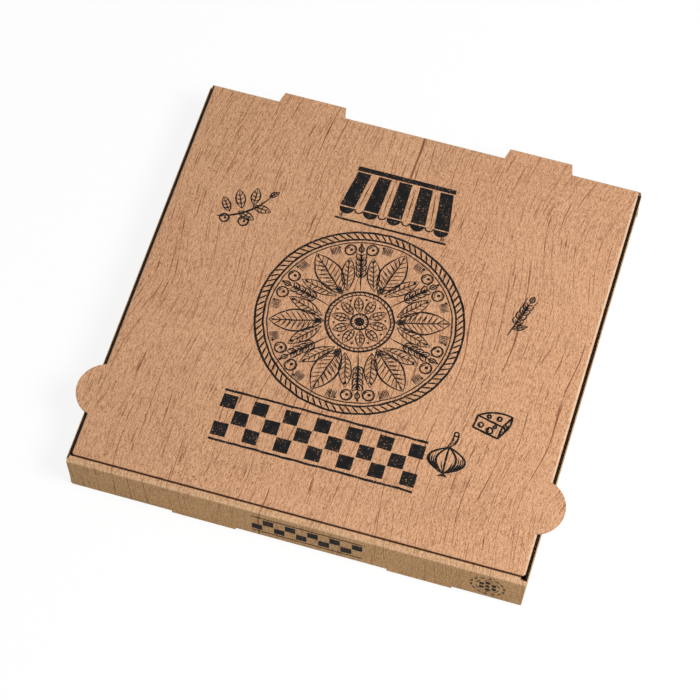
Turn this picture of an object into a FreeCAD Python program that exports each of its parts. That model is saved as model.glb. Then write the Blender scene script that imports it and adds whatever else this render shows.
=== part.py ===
import FreeCAD, Part
import os
from math import atan2, cos, hypot, pi, sin, tan
from FreeCAD import Vector

# Pizza box folded from one sheet of fine-flute corrugated board, in millimetres.
# The tray and the lid are the two parts of the sheet that turn on the rear top fold.
# Origin at the middle of the base, on its underside: +X right, +Y to the rear, +Z up.

# Overall size, outside
box_width = 330.0
box_depth = 330.0
box_height = 34.0

# Board and folds
board = 1.5               # thickness of the corrugated board
fold_inside = 0.2         # inside radius of a fold
layer_gap = 0.15          # between two layers of board that lie on each other
panel_gap = 0.8           # from the foot of a hanging panel to the base panel
corner_relief = 1.0       # cut back at a corner where two folds meet

# Front wall, rolled over into a ledge and an inner wall
ledge_depth = 5.7
front_inset = 1.0         # each end of the front and rear walls, in from the side walls
inner_wall_gap = 0.3      # each end of the inner wall to the side wall
notch_width = 3.8         # relief at the right end of the ledge
notch_depth = 2.6
notch_drop = 4.0

# Lock tabs of the inner wall, and the lugs of the front wall before them
lock_tab_width = 46.6
lock_tab_places = (-65.0, 90.7)
lock_tab_play = 0.3
lug_height = 3.5
lug_flare = 0.6           # how far a lug's foot stands forward of the front wall

# Dust flaps at the ends of the side walls
front_dust_length = 44.0
rear_dust_length = 40.0
dust_flap_slope = 4.0     # how much lower the free end's top corner is

# Lid
lid_rest_gap = 0.1        # from the tops of the walls to the lid's underside
lid_side_gap = 1.0        # from each side wall to the lid's side fold
lid_front_gap = 0.7       # from the ledge to the lid's front fold
flap_depth = 30.2         # side and front flaps, measured down from the lid's top
side_flap_front_gap = 1.6 # from the inner front wall to the side flap's fold end
side_flap_rear_gap = 2.4  # from the rear dust flap to the side flap
side_flap_taper = 5.0     # how much each end is cut back at its foot
front_flap_lean = 3.2     # how far the front flap's foot stands in
front_flap_end_gap = 1.2  # from each side flap to the front flap
front_flap_taper = 7.0

# Round ears that rest on the side walls, cut out of the side flaps
ear_radius = 21.7
ear_inset = 7.5           # ear centre, in from the lid's side fold
ear_from_front = 60.4     # ear centre, back from the front wall

# Rear tabs, cut out of the rear wall
tab_width = 51.0
tab_from_middle = 61.0    # inner end of each tab
tab_reach = 8.1
tab_taper = 2.0           # how much each side is cut in at the tip
tab_clearance = 0.4

# Places that follow from the sizes
half_width = box_width / 2
half_depth = box_depth / 2
fold_outside = fold_inside + board
fold_middle = fold_inside + board / 2
wall_top = box_height - board - lid_rest_gap
lid_underside = box_height - board
lid_middle = box_height - board / 2
hanging_foot = board + panel_gap
corner_y = half_depth - board - layer_gap
dust_middle_y = corner_y - board / 2
ledge_back = -half_depth + ledge_depth
inner_wall_middle = ledge_back - board / 2
lid_half = half_width - board - lid_side_gap
lid_front = ledge_back + lid_front_gap
flap_foot = box_height - flap_depth
ear_y = -half_depth + ear_from_front
sides = (-1, 1)


def point(along, u, v, w):
    """A point from its place (u, v) in a section and its place w along an axis."""
    if along == "x":
        return Vector(w, u, v)
    if along == "y":
        return Vector(u, w, v)
    return Vector(u, v, w)


def drawn_out(edges, along, length):
    """The solid of a closed section drawn out along one axis."""
    return Part.Face(Part.Wire(edges)).extrude(point(along, 0, 0, length))


def plate(corners, along, start, end):
    """A flat piece with the given corners, from start to end along one axis."""
    points = [point(along, u, v, start) for u, v in corners]
    edges = [Part.makeLine(a, b) for a, b in zip(points, points[1:] + points[:1])]
    return drawn_out(edges, along, end - start)


def block(low, high):
    """A rectangular block between two corners."""
    size = [b - a for a, b in zip(low, high)]
    return Part.makeBox(size[0], size[1], size[2], Vector(*low))


def board_face(path, offset):
    """One face of the board beside its middle line: straight runs, and an arc at each fold."""
    runs = []
    here = None
    for before, corner, after in zip(path, path[1:], path[2:]):
        heading_in = atan2(corner[1] - before[1], corner[0] - before[0])
        heading_out = atan2(after[1] - corner[1], after[0] - corner[0])
        turn = (heading_out - heading_in + pi) % (2 * pi) - pi
        side = 1 if turn > 0 else -1
        setback = fold_middle * tan(abs(turn) / 2)
        centre = (corner[0] - setback * cos(heading_in) - side * fold_middle * sin(heading_in),
                  corner[1] - setback * sin(heading_in) + side * fold_middle * cos(heading_in))
        radius = side * fold_middle - offset
        arc = []
        for heading in (heading_in, heading_in + turn / 2, heading_in + turn):
            arc.append((centre[0] + radius * sin(heading), centre[1] - radius * cos(heading)))
        if here is None:
            here = (before[0] - offset * sin(heading_in), before[1] + offset * cos(heading_in))
        if hypot(arc[0][0] - here[0], arc[0][1] - here[1]) > 1e-6:
            runs.append([here, arc[0]])
        runs.append(arc)
        here = arc[2]
    heading = atan2(path[-1][1] - path[-2][1], path[-1][0] - path[-2][0])
    last = (path[-1][0] - offset * sin(heading), path[-1][1] + offset * cos(heading))
    runs.append([here, last])
    return runs


def folded_board(path, along, start, end):
    """Board folded along its middle line in section, from start to end along one axis."""
    left = board_face(path, board / 2)
    right = [run[::-1] for run in reversed(board_face(path, -board / 2))]
    runs = left + [[left[-1][-1], right[0][0]]] + right + [[right[-1][-1], left[0][0]]]
    edges = []
    for run in runs:
        points = [point(along, u, v, start) for u, v in run]
        edge = Part.Arc(*points).toShape() if len(run) == 3 else Part.makeLine(*points)
        edges.append(edge)
    return drawn_out(edges, along, end - start)


def joined(pieces):
    """One solid from pieces of the same sheet."""
    return pieces[0].multiFuse(pieces[1:]).removeSplitter()


def base_with_side_walls():
    """The base panel with a wall folded up along each side."""
    wall = half_width - board / 2
    path = [(-wall, wall_top), (-wall, board / 2), (wall, board / 2), (wall, wall_top)]
    end = corner_y + board - fold_outside
    return folded_board(path, "y", -end, end)


def dust_flaps(side):
    """The upper side wall turned in at both ends as dust flaps."""
    wall = side * (half_width - board / 2)
    front_end = side * (half_width - front_dust_length)
    rear_end = side * (half_width - rear_dust_length)
    path = [(front_end, -dust_middle_y), (wall, -dust_middle_y),
            (wall, dust_middle_y), (rear_end, dust_middle_y)]
    flaps = folded_board(path, "z", hanging_foot, wall_top)
    ends = ((front_end, front_dust_length, -half_depth), (rear_end, rear_dust_length, 0))
    for end, length, start_y in ends:
        slope_start = end + side * length / 2
        corner = [(end, wall_top - dust_flap_slope), (slope_start, wall_top), (end, wall_top)]
        flaps = flaps.cut(plate(corner, "y", start_y, start_y + half_depth))
    return flaps


def front_roll():
    """Front wall, ledge and inner wall, rolled over in one strip from the base."""
    outer = -half_depth + board / 2
    ledge_middle = -half_depth + ledge_depth / 2
    end = half_width - front_inset
    outer_path = [(outer + box_height, board / 2), (outer, board / 2),
                  (outer, lid_middle), (ledge_middle, lid_middle)]
    inner_path = [(ledge_middle, lid_middle), (inner_wall_middle, lid_middle),
                  (inner_wall_middle, hanging_foot)]
    inner_end = half_width - board - inner_wall_gap
    outer_part = folded_board(outer_path, "x", -end, end).cut(ledge_notch())
    inner_part = folded_board(inner_path, "x", -inner_end, inner_end).cut(ledge_notch())
    return outer_part, inner_part


def rear_wall():
    """The rear wall, with an opening under each rear tab of the lid."""
    middle = half_depth - board / 2
    end = half_width - front_inset
    path = [(middle - box_height, board / 2), (middle, board / 2), (middle, wall_top)]
    wall = folded_board(path, "x", -end, end)
    for side in sides:
        wall = wall.cut(plate(tab_outline(side, tab_clearance), "y", middle - board, half_depth + board))
    return wall


def tab_outline(side, spread):
    """Outline of a rear tab's cut in the rear wall, wider than the tab by a clearance."""
    inner = side * (tab_from_middle - spread)
    outer = side * (tab_from_middle + tab_width + spread)
    taper = side * tab_taper
    tip = box_height - tab_reach - spread
    return [(inner, box_height), (inner + taper, tip), (outer - taper, tip), (outer, box_height)]


def corner_cuts():
    """Reliefs at the foot of each corner, where the wall folds meet the side folds."""
    cuts = []
    for side in sides:
        for end in sides:
            near = (side * (half_width - fold_outside), end * (half_depth - fold_outside - corner_relief))
            far = (side * (half_width + board), end * (half_depth + board))
            low = (min(near[0], far[0]), min(near[1], far[1]), -board)
            high = (max(near[0], far[0]), max(near[1], far[1]), fold_outside)
            cuts.append(block(low, high))
    return cuts


def lock_slot(place):
    """Slot in the base for a lock tab, cut right up to the front wall."""
    low = (place - lock_tab_width / 2, -half_depth - board, -board)
    high = (place + lock_tab_width / 2, ledge_back + lock_tab_play, lug_height)
    return block(low, high)


def lug(place):
    """The front wall's lower edge before a lock tab, straight and a little flared."""
    face = -half_depth
    foot = face - lug_flare
    corners = [(face, lug_height), (foot, 0), (foot + board, 0), (face + board, lug_height)]
    half = lock_tab_width / 2
    return plate(corners, "x", place - half, place + half)


def lock_tab(place):
    """Tab on the inner wall's foot that reaches down through its slot."""
    half = lock_tab_width / 2 - lock_tab_play
    low = (place - half, inner_wall_middle - board / 2, 0)
    high = (place + half, inner_wall_middle + board / 2, hanging_foot + lug_height)
    return block(low, high)


def ledge_notch():
    """Relief at the right end of the ledge, beside the lid's corner."""
    right = half_width - front_inset
    low = (right - notch_width, ledge_back - notch_depth, box_height - notch_drop)
    high = (half_width + board, ledge_back + board, box_height + board)
    return block(low, high)


def tray():
    """Base, side walls, dust flaps, rolled front wall and rear wall."""
    outer_part, inner_part = front_roll()
    walls = [outer_part, rear_wall()]
    walls = [wall.cut(Part.makeCompound(corner_cuts())) for wall in walls]
    flaps = [dust_flaps(side) for side in sides]
    shell = joined([base_with_side_walls()] + walls + flaps)
    slots = Part.makeCompound([lock_slot(place) for place in lock_tab_places])
    shell = shell.cut(slots)
    tabs = [lock_tab(place) for place in lock_tab_places]
    lugs = [lug(place) for place in lock_tab_places]
    return joined([shell, inner_part] + tabs + lugs)


def lid_panel():
    """The flat top of the lid, and its half of the fold at the rear."""
    flat = block((-lid_half + fold_outside, lid_front + fold_outside, lid_underside),
                 (lid_half - fold_outside, half_depth - fold_outside, box_height))
    middle = half_depth - board / 2
    path = [(middle - box_height, lid_middle), (middle, lid_middle), (middle, wall_top - box_height / 2)]
    fold = folded_board(path, "x", -lid_half, lid_half)
    below = block((-box_width, 0, 0), (box_width, box_depth, lid_underside))
    return joined([flat, fold.cut(below)])


def side_flap(side):
    """A side fold of the lid and the flap that hangs inside the side wall."""
    middle = lid_half - board / 2
    fold_front = ledge_back + side_flap_front_gap
    fold_rear = corner_y - board - side_flap_rear_gap
    fold_path = [(side * (middle - box_height), lid_middle), (side * middle, lid_middle),
                 (side * middle, box_height - 2 * fold_outside)]
    fold = folded_board(fold_path, "y", lid_front + corner_relief, half_depth - fold_outside)
    behind = block((-box_width, fold_rear, 0), (box_width, box_depth, lid_underside))
    fold = fold.cut(behind)
    top = box_height - fold_outside
    front_top = fold_front + front_flap_lean
    corners = [(front_top, top), (front_top + side_flap_taper, flap_foot),
               (fold_rear - side_flap_taper, flap_foot), (fold_rear, top)]
    inner, outer = sorted((side * lid_half, side * (lid_half - board)))
    flap = plate(corners, "x", inner, outer)
    cutter = Part.makeCylinder(ear_radius, fold_outside + board,
                               Vector(lid_half - fold_outside, ear_y, lid_middle + ear_inset),
                               Vector(1, 0, 0))
    if side < 0:
        cutter = cutter.mirror(Vector(0, 0, 0), Vector(1, 0, 0))
    return joined([fold, flap]).cut(cutter)


def ear(side):
    """A round ear level with the lid's top."""
    centre = Vector(side * (lid_half - ear_inset), ear_y, lid_underside)
    return Part.makeCylinder(ear_radius, board, centre)


def front_flap():
    """The front fold of the lid and the tuck flap that leans in behind the inner wall."""
    middle = lid_front + board / 2
    path = [(middle + box_height, lid_middle), (middle, lid_middle),
            (middle + front_flap_lean, flap_foot)]
    end = lid_half - corner_relief
    strip = folded_board(path, "x", -end, end)
    top = box_height - fold_outside
    top_end = lid_half - board - front_flap_end_gap
    cuts = []
    for side in sides:
        corners = [(side * box_width, top), (side * top_end, top),
                   (side * (top_end - front_flap_taper), 0), (side * box_width, 0)]
        cuts.append(plate(corners, "y", -half_depth, 0))
    return strip.cut(Part.makeCompound(cuts))


def rear_tab(side):
    """A tab level with the lid that reaches out behind the rear wall."""
    inner = side * tab_from_middle
    outer = side * (tab_from_middle + tab_width)
    taper = side * tab_taper
    root = half_depth - 2 * fold_outside
    tip = half_depth + tab_reach
    corners = [(inner, root), (inner, half_depth), (inner + taper, tip),
               (outer - taper, tip), (outer, half_depth), (outer, root)]
    return plate(corners, "z", lid_underside, box_height)


def lid():
    """Top panel, side flaps, front tuck flap, ears and rear tabs."""
    pieces = [lid_panel(), front_flap()]
    for side in sides:
        pieces += [side_flap(side), ear(side), rear_tab(side)]
    return joined(pieces)


def write(name, shape):
    """One STEP file for a sub-part."""
    if shape.ShapeType == "Compound" and len(shape.Solids) == 1:
        shape = shape.Solids[0]
    box = shape.BoundBox
    print(name, len(shape.Solids), "solid", shape.isValid(), round(shape.Volume), "mm3",
          [round(v, 2) for v in (box.XMin, box.YMin, box.ZMin, box.XMax, box.YMax, box.ZMax)])
    shape.exportStep("parts/" + name + ".step")


os.makedirs("parts", exist_ok=True)
write("tray", tray())
write("lid", lid())
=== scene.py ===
from math import asin, atan2, ceil, cos, pi, radians, sin, sqrt, tan

import bmesh
import bpy
from mathutils import Matrix, Quaternion, Vector, noise


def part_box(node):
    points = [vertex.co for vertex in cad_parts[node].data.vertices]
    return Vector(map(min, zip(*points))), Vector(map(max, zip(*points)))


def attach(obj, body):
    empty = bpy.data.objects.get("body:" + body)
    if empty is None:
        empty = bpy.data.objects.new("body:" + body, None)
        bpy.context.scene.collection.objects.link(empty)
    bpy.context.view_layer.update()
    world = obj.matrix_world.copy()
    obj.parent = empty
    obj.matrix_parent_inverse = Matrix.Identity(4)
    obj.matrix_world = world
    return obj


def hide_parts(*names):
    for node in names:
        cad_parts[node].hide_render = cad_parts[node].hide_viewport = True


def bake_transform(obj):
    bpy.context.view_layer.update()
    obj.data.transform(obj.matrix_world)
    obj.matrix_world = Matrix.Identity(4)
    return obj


# A folded pizza box: tray, lid, and the print on them.
# The board is modelled as it is made: a printed outer liner, a wavy medium and a plain
# inner liner. Each liner is drawn panel by panel and turned at the folds.
# Sizes are in millimetres until a mesh is finished, and then in metres. Materials, camera,
# lamps and floor are in metres.

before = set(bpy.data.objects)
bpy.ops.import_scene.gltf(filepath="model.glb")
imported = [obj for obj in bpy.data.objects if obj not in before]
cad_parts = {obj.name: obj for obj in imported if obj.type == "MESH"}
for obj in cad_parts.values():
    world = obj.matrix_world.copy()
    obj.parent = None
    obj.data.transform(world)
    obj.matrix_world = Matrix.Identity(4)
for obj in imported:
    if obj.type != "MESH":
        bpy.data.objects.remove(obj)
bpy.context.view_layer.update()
tray_low, tray_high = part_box("tray")
_, lid_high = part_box("lid")

MM = 0.001

# Outside of the box, from the frame
half_width = tray_high.x / MM
half_depth = tray_high.y / MM
height = tray_high.z / MM

# Board and folds
board = 1.5
liner = 0.25
medium = 0.16
flute_pitch = 3.4
fold_outside = 1.7
fold_step = radians(15)
full_fold = radians(90)
layer_gap = 0.15
merge_distance = 0.002
crisp_angle = radians(40)

# Tray
lid_rest_gap = 0.1
wall_top = height - board - lid_rest_gap
hanging_foot = 2.3
front_inset = 1.0
ledge_depth = 5.7
inner_wall_gap = 0.3
notch_width = 3.8
notch_depth = 2.6
notch_drop = 4.0
lock_tab_width = 46.6
lock_tab_places = (-65.0, 90.7)
lock_tab_play = 0.3
lug_height = 3.5
lug_flare = -tray_low.y / MM - half_depth
front_dust_length = 44.0
rear_dust_length = 40.0
dust_flap_slope = 4.0
wall_lean = 1.6
front_right_inset = 0.2
front_right_taper = 1.4
front_left_taper = 1.9

# Lid
lid_half = 162.5
lid_front = -158.6
flap_foot = 3.8
front_flap_lean = 3.2
side_flap_front = -157.7 + front_flap_lean
side_flap_rear = 159.45
side_flap_taper = 5.0
front_flap_end = 159.8
front_flap_taper = 7.0
ear_radius = 21.7
ear_inset = 7.5
ear_y = -104.6
tab_width = 51.0
tab_from_middle = 61.0
tab_reach = lid_high.y / MM - half_depth
tab_taper = 2.0
tab_clearance = 0.4

# Places that follow
fold_x = half_width - fold_outside
fold_y = half_depth - fold_outside
corner_y = half_depth - board - layer_gap
side_fold_end = corner_y + board - fold_outside
dust_fold_y = corner_y - fold_outside
front_end = half_width - front_inset
front_right = half_width - front_right_inset
right_foot = front_right - front_right_taper
left_foot = -front_end + front_left_taper
inner_end = half_width - board - inner_wall_gap
ledge_back = -half_depth + ledge_depth
lid_fold_x = lid_half - fold_outside
lean = atan2(front_flap_lean, height - board / 2 - flap_foot)
lid_fold_y = lid_front + board / 2 + (fold_outside - board / 2) * tan((full_fold + lean) / 2)
upper = height - fold_outside
ear_x = lid_half - ear_inset
ear_crossing = sqrt(ear_radius ** 2 - (lid_fold_x - ear_x) ** 2)
sides = (-1, 1)


class Sheet:
    """One face of the board, at a depth below the printed face, drawn and folded up."""

    def __init__(self, depth):
        self.depth = depth
        self.bm = bmesh.new()
        self.crease = self.bm.verts.layers.float.new("crease")

    def panel(self, corners):
        """A flat panel with the given corners."""
        return self.bm.faces.new([self.bm.verts.new(corner) for corner in corners])

    def fold(self, start, end, centre, axis, angle=full_fold, pale_wear_and_highlight=0.3):
        """The line from start to end, turned about the middle of its fold, made pale by its wear and
        painted highlight.
        """
        steps = max(1, ceil(angle / fold_step - 0.01))
        line = self.bm.edges.new([self.bm.verts.new(start), self.bm.verts.new(end)])
        old = set(self.bm.verts)
        bmesh.ops.spin(self.bm, geom=[*line.verts, line], cent=centre, axis=axis,
                       angle=angle, steps=steps, use_duplicate=False)
        first = Vector(start) - Vector(centre)
        first -= Vector(axis) * first.dot(Vector(axis))
        for vertex in self.bm.verts:
            if vertex not in old:
                arm = vertex.co - Vector(centre)
                arm -= Vector(axis) * arm.dot(Vector(axis))
                vertex[self.crease] = pale_wear_and_highlight * sin(pi * min(1.0, arm.angle(first) / full_fold))

    def corner(self, centre, side):
        """A part of a ball, where a side fold and the front fold meet."""
        radius = fold_outside - self.depth
        turns = round(2 * pi / fold_step)
        ball = bmesh.ops.create_uvsphere(self.bm, u_segments=turns, v_segments=turns // 2,
                                         radius=radius)
        spare = []
        for face in {face for vertex in ball["verts"] for face in vertex.link_faces}:
            middle = face.calc_center_median()
            if side * middle.x < 0 or middle.y > 0 or middle.z < radius / 2:
                spare.append(face)
        bmesh.ops.delete(self.bm, geom=spare, context="FACES")
        kept = [vertex for vertex in ball["verts"] if vertex.is_valid]
        bmesh.ops.translate(self.bm, verts=kept, vec=centre)


def mirrored(points, side):
    """Points with their first place on the given side."""
    return [(side * point[0], *point[1:]) for point in points]


def lean_in(z):
    """How far a side wall stands in from its top edge at a height."""
    return wall_lean * (1 - z / wall_top)


def tray_sheet(depth):
    """Base, side walls, dust flaps, rolled front and rear wall, at a depth in the board."""
    sheet = Sheet(depth)
    slot_back = ledge_back + lock_tab_play
    half_slot = lock_tab_width / 2
    slots = [(place - half_slot, place + half_slot) for place in lock_tab_places]

    foot_x = fold_x - wall_lean
    base = [(-foot_x, -side_fold_end), (left_foot, -fold_y)]
    foot = [(left_foot, fold_outside)]
    between = [left_foot]
    for left, right in slots:
        base += [(left, -fold_y), (left, slot_back), (right, slot_back), (right, -fold_y)]
        foot += [(left, fold_outside), (left, lug_height)]
        foot += [(right, lug_height), (right, fold_outside)]
        between += [left, right]
    between.append(fold_x)
    base += [(fold_x, -fold_y), (foot_x, -side_fold_end), (foot_x, side_fold_end), (fold_x, fold_y)]
    base += [(-fold_x, fold_y), (-foot_x, side_fold_end)]
    sheet.panel([(x, y, depth) for x, y in base])

    for left, right in zip(between[::2], between[1::2]):
        sheet.fold((left, -fold_y, depth), (right, -fold_y, depth),
                   (0, -fold_y, fold_outside), (-1, 0, 0))
    front = -half_depth + depth
    foot += [(fold_x, fold_outside), (right_foot, fold_outside), (front_right, upper)]
    foot.append((-front_end, upper))
    sheet.panel([(x, front, z) for x, z in foot])
    for left, right in slots:
        sheet.panel([(left, front, lug_height), (right, front, lug_height),
                     (right, front - lug_flare, 0), (left, front - lug_flare, 0)])
    sheet.fold((-front_end, front, upper), (front_right, front, upper),
               (0, -fold_y, upper), (-1, 0, 0), pale_wear_and_highlight=0.15)

    notch_x = front_end - notch_width
    roll_y = ledge_back - fold_outside
    middle_y = -half_depth + ledge_depth / 2
    ledge = [(-front_end, -fold_y), (front_right, -fold_y), (front_right, ledge_back - notch_depth),
             (notch_x, ledge_back - notch_depth), (notch_x, roll_y), (-inner_end, roll_y),
             (-inner_end, middle_y), (-front_end, middle_y)]
    sheet.panel([(x, y, height - depth) for x, y in ledge])
    sheet.fold((-inner_end, roll_y, height - depth), (notch_x, roll_y, height - depth),
               (0, roll_y, upper), (-1, 0, 0), pale_wear_and_highlight=0)
    inner = [(-inner_end, upper), (notch_x, upper), (notch_x, height - notch_drop),
             (inner_end, height - notch_drop), (inner_end, hanging_foot)]
    for place in reversed(lock_tab_places):
        half_tab = half_slot - lock_tab_play
        inner += [(place + half_tab, hanging_foot), (place + half_tab, 0)]
        inner += [(place - half_tab, 0), (place - half_tab, hanging_foot)]
    inner.append((-inner_end, hanging_foot))
    sheet.panel([(x, ledge_back - depth, z) for x, z in inner])

    sheet.fold((-fold_x, fold_y, depth), (fold_x, fold_y, depth),
               (0, fold_y, fold_outside), (1, 0, 0))
    rear = [(fold_x, fold_outside), (front_end, fold_outside), (front_end, wall_top)]
    opening = tab_opening()
    rear += opening
    rear += mirrored(reversed(opening), -1)
    rear += mirrored(reversed(rear[:3]), -1)
    sheet.panel([(x, half_depth - depth, z) for x, z in rear])

    for side in sides:
        front_and_rear = set(sheet.bm.verts)
        wall_x = side * (half_width - depth)
        axis_x = side * fold_x
        sheet.fold((axis_x, -side_fold_end, depth), (axis_x, side_fold_end, depth),
                   (axis_x, 0, fold_outside), (0, -side, 0))
        half = [(side_fold_end, fold_outside), (side_fold_end, hanging_foot),
                (dust_fold_y, hanging_foot), (dust_fold_y, wall_top)]
        wall = half + mirrored(reversed(half), -1)
        sheet.panel([(wall_x, y, z) for y, z in wall])
        for end, length in ((-1, front_dust_length), (1, rear_dust_length)):
            sheet.fold((wall_x, end * dust_fold_y, hanging_foot),
                       (wall_x, end * dust_fold_y, wall_top),
                       (axis_x, end * dust_fold_y, 0), (0, 0, side * end))
            far = side * (half_width - length)
            slope = side * (half_width - length / 2)
            flap = [(axis_x, hanging_foot), (axis_x, wall_top), (slope, wall_top),
                    (far, wall_top - dust_flap_slope), (far, hanging_foot)]
            sheet.panel([(x, end * (corner_y - depth), z) for x, z in flap])
        for vertex in sheet.bm.verts:
            if vertex not in front_and_rear:
                vertex.co.x -= side * lean_in(vertex.co.z)
    return sheet


def tab_opening():
    """The opening in the rear wall below a tab, from its outer top corner round."""
    inner = tab_from_middle - tab_clearance
    outer = tab_from_middle + tab_width + tab_clearance
    tip = height - tab_reach - tab_clearance
    slant = tab_taper * (height - wall_top) / (height - tip)
    return [(outer - slant, wall_top), (outer - tab_taper, tip),
            (inner + tab_taper, tip), (inner + slant, wall_top)]


def ear_arc(steps=28):
    """The ear's edge, from its front end on the side fold to its rear end."""
    half_angle = atan2(ear_crossing, lid_fold_x - ear_x)
    angles = [half_angle * (2 * step / steps - 1) for step in range(1, steps)]
    return [(ear_x + ear_radius * cos(angle), ear_y + ear_radius * sin(angle)) for angle in angles]


def ear_opening(steps=20):
    """The half-round opening that an ear leaves in its side flap, as places (y, z)."""
    centre_z = height - board / 2 + ear_inset
    lift = asin((centre_z - upper) / ear_radius)
    angles = [lift + (pi - 2 * lift) * step / steps for step in range(steps + 1)]
    return [(ear_y + ear_radius * cos(angle), centre_z - ear_radius * sin(angle)) for angle in angles]


def lid_sheet(depth):
    """Top panel with ears and tabs, side flaps and tuck flap, at a depth in the board."""
    sheet = Sheet(depth)
    top = height - depth
    ear_front = ear_y - ear_crossing
    ear_rear = ear_y + ear_crossing
    tab_outer = tab_from_middle + tab_width
    tip_y = half_depth + tab_reach
    right = [(lid_fold_x, lid_fold_y), (lid_fold_x, ear_front), *ear_arc(), (lid_fold_x, ear_rear),
             (lid_fold_x, side_flap_rear), (lid_fold_x, fold_y), (tab_outer, fold_y),
             (tab_outer, half_depth), (tab_outer - tab_taper, tip_y),
             (tab_from_middle + tab_taper, tip_y), (tab_from_middle, half_depth),
             (tab_from_middle, fold_y)]
    outline = right + mirrored(reversed(right), -1)
    sheet.panel([(x, y, top) for x, y in outline])

    foot_drop = upper - flap_foot
    for side in sides:
        flap_x = side * (lid_half - depth)
        axis_x = side * lid_fold_x
        runs = ((lid_fold_y, ear_front, full_fold), (ear_rear, side_flap_rear, full_fold),
                (side_flap_rear, fold_y, full_fold - fold_step))
        # The right side folds are painted paler than the left, as a highlight where the light from the
        # right catches them, over their wear.
        for start, end, angle in runs:
            sheet.fold((axis_x, start, top), (axis_x, end, top), (axis_x, 0, upper),
                       (0, side, 0), angle, pale_wear_and_highlight=0.6 if side > 0 else 0.35)
        shoulder = height - 2 * fold_outside
        shoulder_y = side_flap_front + side_flap_taper * (upper - shoulder) / foot_drop
        flap = [(lid_fold_y, upper), (lid_fold_y, shoulder), (shoulder_y, shoulder),
                (side_flap_front + side_flap_taper, flap_foot),
                (side_flap_rear - side_flap_taper, flap_foot), (side_flap_rear, upper),
                (ear_rear, upper), *ear_opening(), (ear_front, upper)]
        sheet.panel([(flap_x, y, z) for y, z in flap])
        sheet.corner((axis_x, lid_fold_y, upper), side)

    start = (-lid_fold_x, lid_fold_y, top)
    end = (lid_fold_x, lid_fold_y, top)
    centre = Vector((0, lid_fold_y, upper))
    sheet.fold(start, end, centre, (1, 0, 0), pale_wear_and_highlight=0.05)
    arm = Vector((0, -(fold_outside - depth), 0))
    sheet.fold(centre + arm + Vector((-lid_fold_x, 0, 0)), centre + arm + Vector((lid_fold_x, 0, 0)),
               centre, (1, 0, 0), lean, pale_wear_and_highlight=0)
    arm = Matrix.Rotation(lean, 3, "X") @ arm
    down = Vector((0, sin(lean), -cos(lean)))
    reach = foot_drop / cos(lean)
    foot_end = front_flap_end - front_flap_taper * foot_drop / upper
    corners = [(-lid_fold_x, 0), (lid_fold_x, 0), (front_flap_end, board), (foot_end, reach),
               (-foot_end, reach), (-front_flap_end, board)]
    sheet.panel([centre + arm + down * run + Vector((x, 0, 0)) for x, run in corners])
    return sheet


def hinge_sheet(depth):
    """A liner over the rear fold, between and beside the tabs."""
    sheet = Sheet(depth)
    tab_outer = tab_from_middle + tab_width
    runs = ((-lid_half, -tab_outer), (-tab_from_middle, tab_from_middle), (tab_outer, lid_half))
    for left, right in runs:
        sheet.fold((left, fold_y, height - depth), (right, fold_y, height - depth),
                   (0, fold_y, upper), (-1, 0, 0))
    return sheet


def tidy(bm, outward):
    """Doubles merged and faces turned so that the first one looks outward."""
    bmesh.ops.remove_doubles(bm, verts=bm.verts, dist=merge_distance)
    bmesh.ops.recalc_face_normals(bm, faces=bm.faces)
    bm.faces.ensure_lookup_table()
    largest = max(bm.faces, key=lambda face: face.calc_area())
    if largest.normal.dot(Vector(outward)) < 0:
        bmesh.ops.reverse_faces(bm, faces=bm.faces)


def print_map(bm, plane):
    """A map of the sheet laid flat, so that the print runs on over the folds."""
    bm.normal_update()
    layer = bm.loops.layers.uv.new("sheet")
    for face in bm.faces:
        sideways = abs(face.normal.x) > 0.5
        for loop in face.loops:
            x, y, z = loop.vert.co
            u = x + (x / abs(x)) * abs(z - plane) if sideways else x
            loop[layer].uv = (u * MM, (y if sideways else y + z) * MM)


def finished(bm, name, material, body, plane):
    """A mesh object from a bmesh in millimetres, with soft folds and crisp edges."""
    print_map(bm, plane)
    bmesh.ops.scale(bm, vec=(MM, MM, MM), verts=bm.verts)
    bm.normal_update()
    for face in bm.faces:
        face.smooth = True
    for edge in bm.edges:
        edge.smooth = len(edge.link_faces) == 2 and edge.calc_face_angle() < crisp_angle
    mesh = bpy.data.meshes.new(name)
    bm.to_mesh(mesh)
    bm.free()
    mesh.materials.append(material)
    piece = bpy.data.objects.new(name, mesh)
    bpy.context.scene.collection.objects.link(piece)
    if body:
        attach(piece, body)
    return piece


def liner_piece(sheet, name, material, body, plane, outward):
    """A liner with its thickness, from one face of the board."""
    tidy(sheet.bm, outward)
    bmesh.ops.solidify(sheet.bm, geom=list(sheet.bm.faces), thickness=liner)
    bmesh.ops.recalc_face_normals(sheet.bm, faces=sheet.bm.faces)
    return finished(sheet.bm, name, material, body, plane)


def fluting(bm, start, end, near, far, place):
    """Wavy medium from start to end across the flutes; each flute runs from near to far."""
    per_flute = 8
    rows = max(2, ceil((end - start) / flute_pitch * per_flute))
    swing = board / 2 - liner - medium / 2
    made = bmesh.ops.create_grid(bm, x_segments=rows, y_segments=1, size=0.5)
    for vertex in made["verts"]:
        across = start + (end - start) * (vertex.co.x + 0.5)
        along = near(across) if vertex.co.y < 0 else far(across)
        wave = swing * sin(2 * pi * across / flute_pitch)
        vertex.co = place(across, along, wave)


# Shader maths

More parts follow.
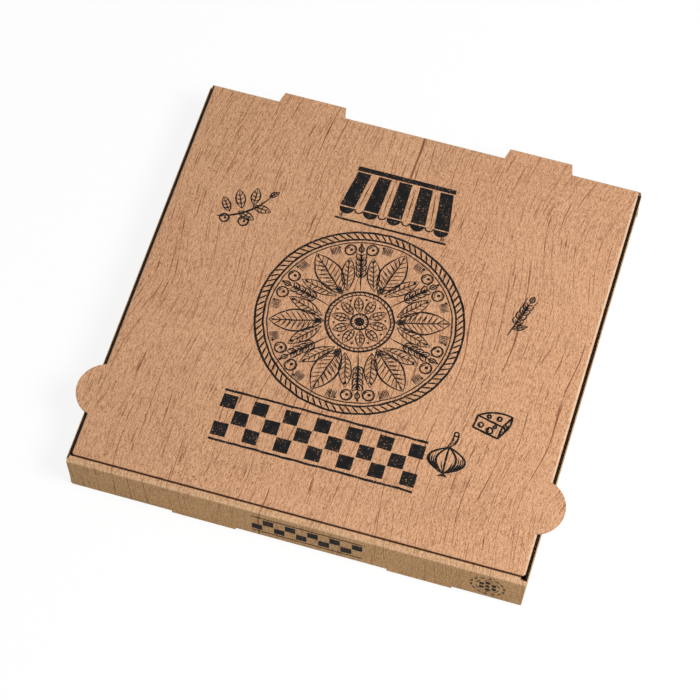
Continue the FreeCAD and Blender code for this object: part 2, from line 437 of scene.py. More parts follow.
class Value:
    """A number that varies over a surface: sums on it add Math nodes."""

    def __init__(self, finish, socket):
        self.finish = finish
        self.socket = socket

    def maths(self, operation, *terms):
        return self.finish.node("ShaderNodeMath", {"operation": operation}, dict(enumerate(terms)))

    def __add__(self, other):
        return self.maths("ADD", self, other)

    def __sub__(self, other):
        return self.maths("SUBTRACT", self, other)

    def __rsub__(self, other):
        return self.maths("SUBTRACT", other, self)

    def __mul__(self, other):
        return self.maths("MULTIPLY", self, other)

    def __truediv__(self, other):
        return self.maths("DIVIDE", self, other)

    def ramp(self, low, high):
        """0 at low and 1 at high, with soft ends; low may be above high."""
        settings = {"interpolation_type": "SMOOTHSTEP"}
        return self.finish.node("ShaderNodeMapRange", settings, {0: self, 1: low, 2: high})

    def wave(self, size):
        """Up and down between 0 and size."""
        return self.maths("PINGPONG", self, size)


class Finish:
    """A material, with its pattern in the flat sheet's coordinates."""

    def __init__(self, name, specular=0.25):
        self.material = bpy.data.materials.new(name)
        self.material.use_nodes = True
        self.tree = self.material.node_tree
        self.shader = self.tree.nodes["Principled BSDF"]
        self.shader.inputs["Specular IOR Level"].default_value = specular
        self.sheet = self.node("ShaderNodeUVMap", {"uv_map": "sheet"}, {})

    def feed(self, socket, value):
        """A link from a value, or a plain number, colour or vector."""
        if isinstance(value, Value):
            self.tree.links.new(value.socket, socket)
        elif isinstance(value, tuple) and len(value) < len(socket.default_value):
            socket.default_value = (*value, 1.0)
        else:
            socket.default_value = value

    def node(self, kind, settings, inputs, output=0):
        """A node of any type, with its settings first and then its sockets."""
        made = self.tree.nodes.new(kind)
        for name, value in settings.items():
            setattr(made, name, value)
        for name, value in inputs.items():
            self.feed(made.inputs[name], value)
        return Value(self, made.outputs[output])

    def mix(self, factor, first, second):
        """A colour between two colours."""
        settings = {"data_type": "RGBA", "clamp_factor": True}
        return self.node("ShaderNodeMix", settings, {0: factor, 6: first, 7: second}, 2)

    def tint(self, colour, amount):
        """A colour made lighter or darker by a number, and greyer where it is darker."""
        steps = {0: (1, 1.25, 1.55), 1: amount - 1, 2: (1, 1, 1)}
        shades = self.node("ShaderNodeVectorMath", {"operation": "MULTIPLY_ADD"}, steps)
        return self.node("ShaderNodeVectorMath", {"operation": "MULTIPLY"}, {0: colour, 1: shades})

    def split(self, vector):
        """The first two places of a vector."""
        return [self.node("ShaderNodeSeparateXYZ", {}, {0: vector}, axis) for axis in (0, 1)]

    def place(self):
        """Where a point is in the box: x, y and z."""
        where = self.node("ShaderNodeTexCoord", {}, {}, 3)
        return [self.node("ShaderNodeSeparateXYZ", {}, {0: where}, axis) for axis in range(3)]

    def joined(self, across, along):
        """A vector from two places."""
        return self.node("ShaderNodeCombineXYZ", {}, {0: across, 1: along})

    def cloud(self, vector, scale, detail=2.0, roughness=0.5, distortion=0.0):
        """Soft noise about 0.5, with scale in patches per metre."""
        inputs = {"Vector": vector, "Scale": scale, "Detail": detail,
                  "Roughness": roughness, "Distortion": distortion}
        return self.node("ShaderNodeTexNoise", {"noise_dimensions": "2D"}, inputs)

    def bump(self, height_map, distance, strength=1.0):
        """A raised pattern on the surface."""
        inputs = {"Height": height_map, "Distance": distance, "Strength": strength}
        self.feed(self.shader.inputs["Normal"], self.node("ShaderNodeBump", {}, inputs))

    def surface(self, colour, roughness):
        """Colour and roughness on the shader."""
        self.feed(self.shader.inputs["Base Color"], colour)
        self.feed(self.shader.inputs["Roughness"], roughness)


# Colours of the board, and shades painted on it
lid_brown = (0.60, 0.328, 0.18)
# The front wall's brown is darker and yellower than the ledge's, as painted shade on the front face.
shaded_wall_brown = (0.572, 0.338, 0.158)
ledge_brown = (0.60, 0.355, 0.196)
plain_brown = (0.52, 0.29, 0.16)
# The medium is darkened far below its own kraft brown, as painted shade in the flutes and in the gap
# beside the lid.
shaded_medium_brown = (0.10, 0.08, 0.062)
# Pale colour of the folds: partly wear, partly a painted highlight where light catches the rounding.
worn_and_highlight_pale = (0.86, 0.66, 0.47)
lid_grain = (0.19, 0.06, 0.025)
front_grain = (0.27, 0.12, 0.05)
seam_shade = (0.05, 0.03, 0.02)
gap_shade = (0.03, 0.022, 0.016)

# Colours of the ink, where it is thick and where it is thin
ink_black = (0.005, 0.005, 0.0055)
thin_black = (0.014, 0.012, 0.011)

# Where the board's colour changes, each from none of the new colour to all of it
seam_below = (0.0334, 0.0332)
seam_above = (0.0319, 0.0321)
seam_before = (-0.1566, -0.1569)
ledge_above = (0.0326, 0.0338)
gap_above = (0.03, 0.0312)
gap_beyond = (0.16, 0.1615)

# The paper's patterns add up to this on average, and are shifted to the mean shade
pattern_mean = 1.48
mean_shade = 1.01
palest_shade = 1.18


def paper(finish, base):
    """Kraft paper: patches, mottling and short fibres. Gives its colour and its height."""
    across, along = finish.split(finish.sheet)
    patches = finish.cloud(finish.sheet, 14, 3)
    mottle = finish.cloud(finish.joined(across, along * 0.52), 700, 3, 0.8)
    grit = finish.cloud(finish.joined(across, along * 0.55), 1250, 1, 0.7)
    fibres = finish.cloud(finish.joined(across, along * 0.22), 1100, 2, 0.7, 0.3)
    pattern = mottle * 0.45 + grit * 1.1 + fibres * 1.25 + patches * 0.16
    shade = pattern + (mean_shade - pattern_mean)
    shade = shade.maths("MINIMUM", shade, palest_shade)
    relief = mottle * 0.5 + fibres * 0.35 + grit * 0.25
    return finish.tint(base, shade), relief


def wood_print(finish, colour, ink_colour):
    """A printed wood grain: long bent lines, dashes and short pores along the sheet."""
    across, along = finish.split(finish.sheet)
    bend = finish.cloud(finish.joined(across, along * 0.8), 7, 1)
    lean = finish.cloud(finish.joined(across, along * 0.35), 26, 1)
    path = across + (bend - 0.5) * 0.04 + (lean - 0.5) * 0.008
    drift = finish.cloud(finish.joined(path, along * 0.05), 55, 2)
    patchy = finish.cloud(finish.joined(path * 2, along * 0.14), 85, 3, 0.6)
    long_lines = (path / 0.01 + drift * 1.6).wave(0.5).ramp(0.028, 0.012) * patchy.ramp(0.46, 0.56)
    dashes = finish.cloud(finish.joined(path, along * 0.04), 850, 1).ramp(0.66, 0.72)
    ticks = finish.cloud(finish.joined(path, along * 0.09), 1000, 1).ramp(0.63, 0.7)
    crowd = finish.cloud(finish.joined(path, along * 0.4), 40, 2).ramp(0.35, 0.65)
    pores = finish.cloud(finish.joined(path, along * 0.1), 950, 2, 0.6).ramp(0.54, 0.7)
    streaks = finish.cloud(finish.joined(path, along * 0.03), 300, 3, 0.6).ramp(0.5, 0.75)
    specks = finish.cloud(finish.sheet, 560, 0).ramp(0.87, 0.9)
    marks = long_lines * 0.85 + dashes * (crowd * 0.42 + 0.26) + ticks * 0.3 + pores * 0.18
    marks = marks + streaks * 0.12 + specks * 0.6
    return finish.mix(marks, colour, ink_colour)


def lid_colour(finish):
    """The lid's brown, dark in the front fold for the shade of the seam before the ledge."""
    _, y, z = finish.place()
    seam = z.ramp(*seam_below) * z.ramp(*seam_above) * y.ramp(*seam_before)
    return finish.mix(seam, lid_brown, seam_shade)


def front_colour(finish):
    """Redder and paler on the ledge than on the front wall, whose darker, yellower brown is painted
    shade.
    """
    _, _, z = finish.place()
    return finish.mix(z.ramp(*ledge_above), shaded_wall_brown, ledge_brown)


def inside_colour(finish):
    """Plain board, dark high on the side walls for the shade of the gap beside the lid."""
    x, _, z = finish.place()
    edge = z.ramp(*gap_above) * x.maths("ABSOLUTE", x).ramp(*gap_beyond)
    return finish.mix(edge, plain_brown, gap_shade)


def kraft(name, base, grain=None):
    """Kraft board in a colour or a pattern of colours, paler along folds for wear and as a painted
    highlight.

    Where the grain has a colour, a wood grain is printed on it.
    """
    finish = Finish(name)
    if callable(base):
        base = base(finish)
    colour, relief = paper(finish, base)
    if grain:
        colour = wood_print(finish, colour, grain)
    crease = finish.node("ShaderNodeAttribute", {"attribute_name": "crease"}, {}, 2)
    rub_and_highlight = finish.cloud(finish.sheet, 260, 3, 0.6)
    # Folds are mixed toward a pale colour: partly wear, partly a painted highlight.
    colour = finish.mix(crease * rub_and_highlight.ramp(0.2, 0.55), colour, worn_and_highlight_pale)
    finish.surface(colour, 0.95 - relief * 0.16)
    finish.bump(relief, 0.00012, 0.6)
    return finish.material


def worn_ink(name):
    """Black print, thin in places, with specks of the board showing through."""
    finish = Finish(name, 0.12)
    colour, relief = paper(finish, lid_brown)
    specks = finish.cloud(finish.sheet, 850, 2, 0.6).ramp(0.64, 0.72)
    thin = finish.cloud(finish.sheet, 120, 3, 0.6)
    black = finish.mix(thin.ramp(0.35, 0.8), ink_black, thin_black)
    colour = finish.mix(specks * thin.ramp(0.4, 0.6) * 0.8, black, colour)
    finish.surface(colour, relief * 0.2 + 0.6)
    finish.bump(relief, 0.00008, 0.5)
    return finish.material


printed_kraft = kraft("printed_kraft", lid_colour, lid_grain)
front_kraft = kraft("front_kraft", front_colour, front_grain)
plain_kraft = kraft("plain_kraft", plain_brown)
inside_kraft = kraft("inside_kraft", inside_colour)
# The medium's near-black brown is painted shade in the flutes.
shaded_medium_kraft = kraft("shaded_medium_kraft", shaded_medium_brown)
ink = worn_ink("ink")


# Board

def board_liners(name, make_sheet, printed, plain, plane, outward):
    """Outer and inner liner of a part of the board."""
    outside = liner_piece(make_sheet(0), name + "_outer_liner", printed, name, plane, outward)
    inward = [-part for part in outward]
    inside = liner_piece(make_sheet(board), name + "_inner_liner", plain, name, plane, inward)
    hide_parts(name)


board_liners("tray", tray_sheet, front_kraft, inside_kraft, 0, (0, 0, -1))
board_liners("lid", lid_sheet, printed_kraft, plain_kraft, height, (0, 0, 1))


def fluting_piece(bm, name, body, plane):
    """Medium with its thickness."""
    bmesh.ops.recalc_face_normals(bm, faces=bm.faces)
    bmesh.ops.solidify(bm, geom=list(bm.faces), thickness=medium)
    bmesh.ops.recalc_face_normals(bm, faces=bm.faces)
    piece = finished(bm, name, shaded_medium_kraft, body, plane)


# How far the medium stands back from a raw edge, how deep it goes in, and where it stops
# short of the ends of an ear's opening
edge_recess = 1.0
edge_depth = 4.0
opening_margin = 2


def tray_fluting():
    """Medium at the raw edges of the tray's walls and flaps."""
    bm = bmesh.new()
    top = wall_top - edge_recess
    for side in sides:
        fluting(bm, -dust_fold_y, dust_fold_y, lambda y: top, lambda y: top - edge_depth,
                lambda y, z, wave: (side * (half_width - board / 2 + wave - lean_in(z)), y, z))
        for end, length in ((-1, front_dust_length), (1, rear_dust_length)):
            far = half_width - length
            middle = half_width - length / 2

            def flap_top(x):
                return top - dust_flap_slope * max(0.0, (middle - x) / (middle - far))

            fluting(bm, far + edge_recess, fold_x, flap_top, lambda x: flap_top(x) - edge_depth,
                    lambda x, z, wave: (side * x, end * (corner_y - board / 2 + wave), z))
        rim = side * (front_end - edge_recess)
        fluting(bm, fold_outside, upper, lambda z: rim, lambda z: rim - side * edge_depth,
                lambda z, x, wave: (x, -half_depth + board / 2 + wave, z))
        rim_inside = side * (inner_end - edge_recess)
        fluting(bm, hanging_foot, height - notch_drop, lambda z: rim_inside,
                lambda z: rim_inside - side * edge_depth,
                lambda z, x, wave: (x, ledge_back - board / 2 + wave, z))
    opening = tab_opening()
    outer = opening[0][0] + edge_recess
    inner = opening[3][0] - edge_recess
    for left, right in ((-front_end, -outer), (-inner, inner), (outer, front_end)):
        fluting(bm, opening[1][1] - edge_depth, wall_top - edge_recess,
                lambda z: left + edge_recess, lambda z: right - edge_recess,
                lambda z, x, wave: (x, half_depth - board / 2 + wave, z))
    fluting_piece(bm, "tray_fluting", "tray", 0)


def lid_fluting():
    """Medium at the raw edges of the lid's ears, tabs and flaps."""
    bm = bmesh.new()
    middle_z = height - board / 2
    reach = ear_radius - edge_recess
    centre_z = middle_z + ear_inset
    foot = flap_foot + edge_recess
    for side in sides:
        fluting(bm, ear_y - reach, ear_y + reach,
                lambda y: side * (ear_x + sqrt(max(0.0, reach ** 2 - (y - ear_y) ** 2))),
                lambda y: side * (ear_x - edge_depth),
                lambda y, x, wave: (x, y, middle_z + wave))
        tip_y = half_depth + tab_reach - edge_recess

        def tab_side(y, near):
            slant = tab_taper * max(0.0, (y - half_depth) / tab_reach) + edge_recess
            inner = tab_from_middle + slant
            outer = tab_from_middle + tab_width - slant
            return side * (inner if near else outer)

        fluting(bm, fold_y - edge_depth, tip_y, lambda y: tab_side(y, True),
                lambda y: tab_side(y, False), lambda y, x, wave: (x, y, middle_z + wave))
        flap_x = side * (lid_half - board / 2)
        fluting(bm, side_flap_front + side_flap_taper, side_flap_rear - side_flap_taper,
                lambda y: foot, lambda y: foot + edge_depth,
                lambda y, z, wave: (flap_x + wave, y, z))
        wide = ear_radius + edge_recess

        def opening_z(y):
            return centre_z - sqrt(max(0.0, wide ** 2 - (y - ear_y) ** 2))

        fluting(bm, ear_y - ear_crossing + opening_margin,
                ear_y + ear_crossing - opening_margin, opening_z,
                lambda y: opening_z(y) - edge_depth,
                lambda y, z, wave: (flap_x + wave, y, z))
    fluting_piece(bm, "lid_fluting", "lid", height)


tray_fluting()
lid_fluting()


def hinge(depth, name, material):
    """A liner over the rear fold, attached to neither the tray nor the lid."""
    sheet = hinge_sheet(depth)
    strip = liner_piece(sheet, name, material, None, height, (0, 1 if depth == 0 else -1, 0))
    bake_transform(strip)


hinge(0, "rear_fold", printed_kraft)
hinge(board, "rear_fold_inside", plain_kraft)


# Print
# Each drawing is laid out flat in millimetres, with x across the panel and y up it.

ink_thickness = 0.02
ink_lift = 0.03
layer_lift = 0.002
lift_levels = 10
shake_rate = 0.12
layer_change = 0.37
hand_seed = 1

# The unsteady hand draws the same lines each time
noise.seed_set(hand_seed)


def straight(start, end):
    """A path from start to end."""
    return lambda t: Vector(start).lerp(Vector(end), t)


def bow(start, end, rise):
    """A path from start to end that rises to its left."""
    chord = Vector(end) - Vector(start)
    left = Vector((-chord.y, chord.x)) * rise
    return lambda t: Vector(start) + chord * t + left * 4 * t * (1 - t)


def arc(centre, radius, start=0.0, turn=2 * pi):
    """A path round a centre."""
    def at(t):
        angle = start + turn * t
        return Vector(centre) + radius * Vector((cos(angle), sin(angle)))
    return at


class Drawing:
    """Strokes, patches and dots of ink on one panel, drawn by a slightly unsteady hand."""

    def __init__(self, shake=0.3, weight=1.5):
        self.bm = bmesh.new()
        self.shake = shake
        self.weight = weight
        self.layer = 0

    def drawn(self, place):
        """A place in the ink's plane, moved a little, on a layer of its own."""
        seed = Vector((place.x * shake_rate, place.y * shake_rate, self.layer * layer_change))
        shift = noise.noise_vector(seed) * self.shake
        lift = (self.layer % lift_levels) * layer_lift
        return Vector((place.x + shift.x, place.y + shift.y, lift))

    def stroke(self, path, width, steps=14, taper=0.6):
        """A line along a path, thinner at its ends by the taper."""
        self.layer += 1
        made = bmesh.ops.create_grid(self.bm, x_segments=steps, y_segments=1, size=0.5)
        for vertex in made["verts"]:
            t = vertex.co.x + 0.5
            heading = (path(t + 0.01) - path(t - 0.01)).normalized()
            left = Vector((-heading.y, heading.x))
            swell = 1 - taper * (1 - sin(pi * t)) + 0.3 * noise.noise((t * steps * 0.7, self.layer, 0))
            offset = left * vertex.co.y * width * self.weight * max(0.2, swell)
            vertex.co = self.drawn(path(t) + offset)

    def ring(self, centre, radius, width, steps=0):
        """A closed round line."""
        self.stroke(arc(centre, radius), width, steps or max(14, round(radius * 3)), 0)

    def dot(self, centre, radius):
        """A filled round spot."""
        self.layer += 1
        made = bmesh.ops.create_circle(self.bm, cap_ends=True, segments=12, radius=radius)
        for vertex in made["verts"]:
            vertex.co = self.drawn(vertex.co.xy + Vector(centre))

    def patch(self, corners):
        """A filled shape with straight sides."""
        self.layer += 1
        vertices = [self.bm.verts.new(self.drawn(Vector(corner))) for corner in corners]
        self.bm.faces.new(vertices)

    def hatch(self, centre, inner, outer, start, turn, count, slant, width):
        """Short strokes across a band between two radii."""
        for index in range(count):
            angle = start + turn * (index + 0.5) / count
            near = arc(centre, inner, angle)(0)
            far = arc(centre, outer, angle + slant)(0)
            self.stroke(straight(near, far), width, 3)

    def leaf(self, base, tip, breadth, veins=4, width=0.8):
        """A pointed leaf with a rib, veins and one shaded side."""
        for side in sides:
            self.stroke(bow(base, tip, side * breadth / 2), width)
            for vein in range(1, veins + 1):
                root = Vector(base).lerp(Vector(tip), vein / (veins + 1.6))
                edge = bow(base, tip, side * breadth * 0.44)(vein / (veins + 1.6) + 0.13)
                self.stroke(straight(root, edge), width * 0.6, 3)
                if side > 0:
                    shade = root.lerp(Vector(tip), 0.07)
                    self.stroke(straight(shade, shade.lerp(edge, 0.7)), width * 0.5, 3)
        self.stroke(straight(base, Vector(base).lerp(Vector(tip), 0.93)), width * 0.9)

    def wheat(self, base, tip, grains=5, width=0.8):
        """An ear of wheat: a stalk with paired grains and beards."""
        base, tip = Vector(base), Vector(tip)
        along = tip - base
        across = Vector((-along.y, along.x))
        self.stroke(straight(base, tip), width)
        first = 0.34
        size = (0.96 - first) / grains
        for grain in range(grains):
            root = base + along * (first + grain * size * 0.92)
            for side in sides:
                end = root + along * size * 1.15 + across * side * size * 0.62
                self.stroke(bow(root, end, 0.28), width)
                self.stroke(bow(root, end, -0.28), width)
                self.stroke(straight(root, root.lerp(end, 0.7)), width * 0.7, 4)
                beard = end + along * size * 0.9 + across * side * size * 0.22
                self.stroke(straight(end, beard), width * 0.5, 4)
        self.leaf(tip - along * 0.03, tip + along * size * 1.1, 0.5, 0, width)

    def olive(self, centre, radius, width=0.8):
        """A round olive with a hole, a highlight and some shading."""
        self.ring(centre, radius, width)
        self.dot((centre[0] + radius * 0.12, centre[1] + radius * 0.1), radius * 0.3)
        self.stroke(arc(centre, radius * 0.68, radians(110), radians(70)), width * 0.8, 8)
        self.hatch(centre, radius * 0.66, radius * 0.95, radians(-70), radians(120), 7, 0.1, width * 0.5)

    def chequer(self, left, bottom, square, columns, rows):
        """Filled squares, every other one."""
        for column in range(columns):
            for row in range(rows):
                if (column + row) % 2 == 0:
                    x = left + column * square
                    y = bottom + row * square
                    inset = square * 0.03
                    far_x = x + square - inset
                    far_y = y + square - inset
                    self.patch([(x + inset, y + inset), (far_x, y + inset),
                                (far_x, far_y), (x + inset, far_y)])

    def printed(self, name, body, place):
        """The drawing as a thin film of ink, put on its panel."""
        bmesh.ops.recalc_face_normals(self.bm, faces=self.bm.faces)
        for face in self.bm.faces:
            if face.normal.z < 0:
                face.normal_flip()
        bmesh.ops.solidify(self.bm, geom=list(self.bm.faces), thickness=ink_thickness)
        bmesh.ops.recalc_face_normals(self.bm, faces=self.bm.faces)
        lift = Matrix.Translation((0, 0, ink_lift + ink_thickness))
        bmesh.ops.transform(self.bm, matrix=place @ lift, verts=self.bm.verts)
        piece = finished(self.bm, name, ink, body, height)


on_lid = Matrix.Translation((0, 0, height))
on_front = Matrix.Translation((0, -half_depth, 0)) @ Matrix.Rotation(radians(90), 4, "X")

medallion_centre = Vector((-1.5, 0.5))
medallion_radius = 74.5


def medallion():
    """A round wreath: a rope border, leaves and wheat ears by turns, olives and a flower."""
    drawing = Drawing(0.5)
    middle = medallion_centre

    def spoke(radius, angle):
        return arc(middle, radius, radians(angle))(0)

    rings = ((medallion_radius, 1.1), (68.5, 1.0), (65.8, 0.6), (24.5, 1.0), (21.8, 0.6))
    for radius, width in rings:
        drawing.ring(middle, radius, width)
    drawing.hatch(middle, 68.8, 74.2, 0, 2 * pi, 90, 0.07, 0.85)
    drawing.hatch(middle, 70.4, 73.6, 0.02, 2 * pi, 90, 0.04, 0.5)
    drawing.hatch(middle, 22, 24.2, 0, 2 * pi, 44, 0.08, 0.5)
    petals = 6
    for index in range(petals):
        angle = 360 / petals * index + 15
        for side in sides:
            drawing.leaf(spoke(27, angle + side * 9), spoke(54, angle + side * 21), 0.32, 6, 0.7)
            drawing.hatch(middle, 58, 65, radians(angle + side * 9), radians(side * 7), 7, 0, 0.5)
        drawing.leaf(spoke(25.5, angle), spoke(64.5, angle), 0.46, 9, 0.9)
        drawing.hatch(middle, 27, 33, radians(angle - 4), radians(8), 6, 0, 0.6)
        between = angle + 180 / petals
        drawing.wheat(spoke(25.5, between), spoke(58, between), 4, 0.8)
        for side in sides:
            drawing.olive(spoke(60, between + side * 7.5), 4.2)
            drawing.dot(spoke(51, between + side * 10.5), 1.0)
            drawing.dot(spoke(45, between + side * 8), 0.7)
            drawing.dot(spoke(63.5, between + side * 14.5), 0.9)
        drawing.dot(spoke(64, between), 1.0)
    for index in range(10):
        angle = 36 * index
        drawing.leaf(spoke(7.2, angle), spoke(20.6, angle), 0.46, 3, 0.7)
        drawing.dot(spoke(18.5, angle + 18), 0.9)
    drawing.ring(middle, 6.4, 0.9)
    drawing.dot(middle, 3.8)
    drawing.hatch(middle, 4.2, 6.2, 0, 2 * pi, 16, 0, 0.6)
    drawing.printed("medallion_print", "lid", on_lid)


def awning():
    """A shop awning with broad stripes and a scalloped edge."""
    drawing = Drawing(0.4, 1.2)
    left, right, foot, top = -43.0, 39.0, 80.0, 127.0
    narrow = 5.0
    edge = foot + 11
    dark, light = 11.0, 6.75
    squeeze = 1 - 2 * narrow / (right - left)
    drawing.patch([(left + narrow - 1, top - 4), (right - narrow + 1, top - 4),
                   (right - narrow + 1, top), (left + narrow - 1, top)])
    x = left
    for stripe in range(9):
        width = light if stripe % 2 else dark
        x_top = left + narrow + (x - left) * squeeze
        tight = width * squeeze
        middle = (x + width / 2, edge)
        if stripe % 2:
            drawing.stroke(arc((middle[0], edge - 1), width / 2 - 0.4, pi, pi), 0.9, 14, 0)
            drawing.stroke(straight((x + width / 2, edge + 3), (x_top + tight / 2, top - 8)), 0.5)
        else:
            drawing.patch([(x, edge), (x + width, edge), (x_top + tight, top - 5), (x_top, top - 5)])
            round_edge = [arc(middle, width / 2, pi, pi)(t / 12) for t in range(13)]
            drawing.patch([(point.x, point.y - 1) for point in round_edge])
        x += width
    drawing.stroke(straight((left - 1, foot), (right + 1, foot)), 1.4, 24, 0)
    for index in range(3):
        drawing.stroke(straight((left + 2 + index, foot + 1), (left + 2 + index, edge - 6)), 0.5, 4)
        drawing.stroke(straight((right - 2 - index, foot + 1), (right - 2 - index, edge - 6)), 0.5, 4)
    drawing.printed("awning_print", "lid", on_lid)


def tablecloth():
    """A bold chequered band."""
    drawing = Drawing(0.5, 1)
    left, right, foot = -76.0, 72.0, -116.0
    columns, rows = 13, 3
    drawing.chequer(left, foot, (right - left) / columns, columns, rows)
    for y in (-119.0, -79.0):
        drawing.stroke(straight((left, y), (right, y)), 1.8, 30, 0)
    drawing.printed("tablecloth_print", "lid", on_lid)


def olive_sprig():
    """A small twig with narrow leaves and two olives."""
    drawing = Drawing()
    drawing.stroke(bow((-126, 56), (-92, 84), -0.12), 1.1)
    for base, tip in (((-118, 62), (-126, 73)), ((-110, 67), (-117, 82)), ((-103, 72), (-104, 87)),
                      ((-112, 64), (-99, 60)), ((-103, 71), (-89, 70)), ((-94, 82), (-88, 88))):
        drawing.leaf(base, tip, 0.42, 3, 0.75)
    drawing.olive((-120, 56), 3.4)
    drawing.olive((-106, 57), 3.8)
    drawing.printed("olive_print", "lid", on_lid)


def wheat_ear():
    """A small ear of wheat."""
    drawing = Drawing()
    drawing.wheat((102, 20), (111, 51), 4, 0.8)
    drawing.leaf((103.5, 26), (114, 31), 0.3, 2, 0.7)
    drawing.printed("wheat_print", "lid", on_lid)


def cheese():
    """A wedge of cheese with holes."""
    drawing = Drawing()
    low_left, low_right, low_back = (98, -58), (117, -62), (123, -51)
    top_left, top_right, top_back = (99, -48), (118, -52), (123, -43)
    edges = ((low_left, low_right), (low_right, low_back), (top_left, top_right), (low_back, top_back),
             (low_left, top_left), (low_right, top_right), (top_right, top_back))
    for start, end in edges:
        drawing.stroke(straight(start, end), 1.1, 8, 0.2)
    drawing.stroke(bow(top_left, top_back, 0.12), 1.1, 12, 0.2)
    for index in range(6):
        low = Vector(low_right).lerp(Vector(low_back), index / 6)
        drawing.stroke(straight(low, low + Vector((0, 3.5))), 0.6, 3)
    holes = ((103, -54.5, 1.9), (110, -57.5, 2.4), (113, -53.6, 1.1), (120.4, -52, 1.3),
             (107, -46.8, 1.3), (114.5, -46.5, 1.6))
    for x, y, radius in holes:
        drawing.ring((x, y), radius, 0.9, 12)
        drawing.stroke(arc((x, y), radius * 0.55, radians(110), radians(150)), radius * 0.45, 6)
    drawing.printed("cheese_print", "lid", on_lid)


def garlic():
    """A bulb of garlic with its roots and stem."""
    drawing = Drawing()
    foot, neck = (88, -99), (87, -78)
    for rise in (-0.62, -0.32, 0.02, 0.34, 0.62):
        drawing.stroke(bow(foot, neck, rise), 1.1, 18, 0.3)
    for rise in (-0.55, -0.48, -0.41, 0.42, 0.49, 0.56):
        drawing.stroke(lambda t: bow(foot, neck, rise)(0.12 + 0.5 * t), 0.7, 8)
    for rise in (-0.22, 0.14):
        drawing.stroke(lambda t: bow(foot, neck, rise)(0.1 + 0.35 * t), 0.6, 8)
    drawing.stroke(bow(neck, (91, -67), -0.12), 1.1)
    drawing.stroke(bow((85.2, -79), (87.4, -67), -0.1), 1.0)
    drawing.ring((89.2, -67), 1.7, 0.8, 12)
    for index in range(6):
        drawing.stroke(bow(foot, (84 + index * 1.6, -102), 0.05), 0.6, 4)
    drawing.printed("garlic_print", "lid", on_lid)


def front_print():
    """A small chequered band, and a dashed ring with a flower."""
    drawing = Drawing(0.25, 1.2)
    left, right, foot = -30.0, 50.0, 9.0
    columns, rows = 10, 2
    drawing.chequer(left, foot, (right - left) / columns, columns, rows)
    for y in (7.0, 27.0):
        drawing.stroke(straight((left, y), (right, y)), 1.0, 20, 0)
    middle = (139.0, 17.0)
    dashes = 14
    for dash in range(dashes):
        start = 2 * pi * dash / dashes
        drawing.stroke(arc(middle, 11.8, start, 1.2 * pi / dashes), 1.0, 5, 0.3)
    for petal in range(6):
        angle = radians(60 * petal + 30)
        drawing.dot(arc(middle, 5.0, angle)(0), 1.9)
        drawing.stroke(arc(middle, 8.2, angle - 0.3, 0.6), 0.8, 5)
    drawing.dot(middle, 1.7)
    drawing.printed("front_print", "tray", on_front)


medallion()
awning()
tablecloth()
olive_sprig()
wheat_ear()
cheese()
garlic()
front_print()


# Camera at the photograph's angle
camera_place = Vector((0.28932, -1.03592, 1.88475))
camera_aim = Vector((-0.00666, -0.00497, 0.0))
camera_roll = radians(0.687)
camera_lens = 155.06
camera_sensor = 36.0

camera = bpy.data.objects.new("camera", bpy.data.cameras.new("camera"))
camera.data.lens = camera_lens
camera.data.sensor_width = camera_sensor
camera.location = camera_place
camera.rotation_mode = "QUATERNION"
turn = (camera_aim - camera_place).to_track_quat("-Z", "Y")
camera.rotation_quaternion = turn @ Quaternion((0, 0, 1), camera_roll)
bpy.context.scene.collection.objects.link(camera)
bpy.context.scene.camera = camera


# Light and floor
floor_grey = (0.6, 0.6, 0.6, 1)
white = (1, 1, 1, 1)
floor_glow = 0.88
floor_roughness = 0.9


def seen_directly(tree):
    """1 for rays from the camera, from gloss and from glass, and 0 for light."""
    path = tree.nodes.new("ShaderNodeLightPath")
    total = path.outputs["Is Camera Ray"]
    for name in ("Is Glossy Ray", "Is Transmission Ray"):
        most = tree.nodes.new("ShaderNodeMath")
        most.operation = "MAXIMUM"
        tree.links.new(total, most.inputs[0])
        tree.links.new(path.outputs[name], most.inputs[1])
        total = most.outputs[0]
    return total


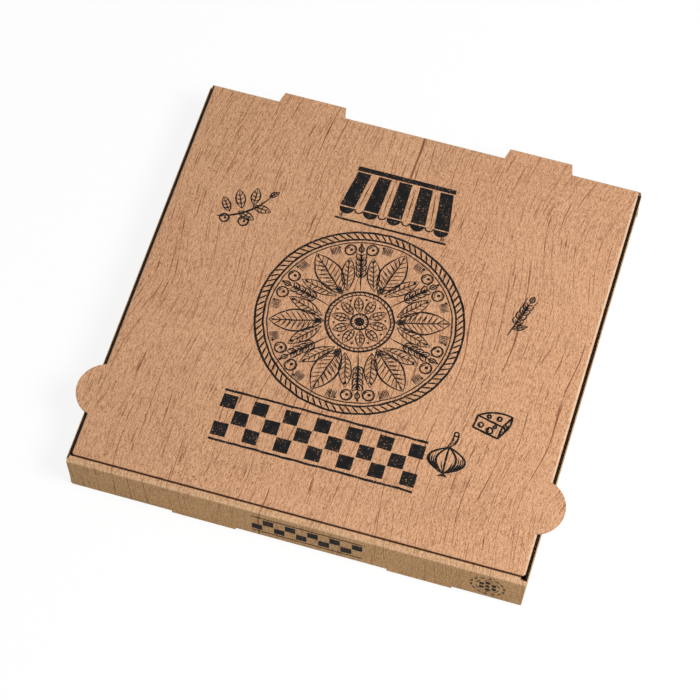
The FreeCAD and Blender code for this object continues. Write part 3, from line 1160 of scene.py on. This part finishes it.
def studio_world(level):
    """A plain white surround that lights the box at a plain level."""
    world = bpy.data.worlds.new("studio")
    bpy.context.scene.world = world
    world.use_nodes = True
    tree = world.node_tree
    strength = tree.nodes.new("ShaderNodeMapRange")
    strength.inputs["To Min"].default_value = level
    tree.links.new(seen_directly(tree), strength.inputs["Value"])
    background = tree.nodes["Background"]
    background.inputs["Color"].default_value = white
    tree.links.new(strength.outputs[0], background.inputs["Strength"])


def floor(size, drop):
    """A plain pale floor that keeps the box's shadow."""
    bm = bmesh.new()
    bmesh.ops.create_grid(bm, x_segments=1, y_segments=1, size=size)
    bmesh.ops.translate(bm, verts=bm.verts, vec=(0, 0, -drop))
    mesh = bpy.data.meshes.new("floor")
    bm.to_mesh(mesh)
    bm.free()
    material = bpy.data.materials.new("floor")
    material.use_nodes = True
    tree = material.node_tree
    shader = tree.nodes["Principled BSDF"]
    shader.inputs["Roughness"].default_value = floor_roughness
    seen = seen_directly(tree)
    tone = tree.nodes.new("ShaderNodeMix")
    tone.data_type = "RGBA"
    tone.inputs[6].default_value = floor_grey
    tone.inputs[7].default_value = white
    tree.links.new(seen, tone.inputs[0])
    tree.links.new(tone.outputs[2], shader.inputs["Base Color"])
    glow = tree.nodes.new("ShaderNodeEmission")
    shown = tree.nodes.new("ShaderNodeMixShader")
    share = tree.nodes.new("ShaderNodeMath")
    share.operation = "MULTIPLY"
    share.inputs[1].default_value = floor_glow
    tree.links.new(seen, share.inputs[0])
    tree.links.new(share.outputs[0], shown.inputs[0])
    tree.links.new(shader.outputs[0], shown.inputs[1])
    tree.links.new(glow.outputs[0], shown.inputs[2])
    tree.links.new(shown.outputs[0], tree.nodes["Material Output"].inputs["Surface"])
    mesh.materials.append(material)
    piece = bpy.data.objects.new("floor", mesh)
    bpy.context.scene.collection.objects.link(piece)


def lamp(name, place, size, power):
    """A soft square lamp that looks at the box."""
    data = bpy.data.lights.new(name, "AREA")
    data.size = size
    data.energy = power
    made = bpy.data.objects.new(name, data)
    made.location = place
    made.rotation_mode = "QUATERNION"
    made.rotation_quaternion = (-Vector(place)).to_track_quat("-Z", "Y")
    bpy.context.scene.collection.objects.link(made)


studio_world(level=0.33)
floor(size=4.0, drop=0.0003)
lamp("key", (1.1, -0.32, 1.5), size=0.8, power=33)

bpy.context.scene.view_settings.view_transform = "Standard"
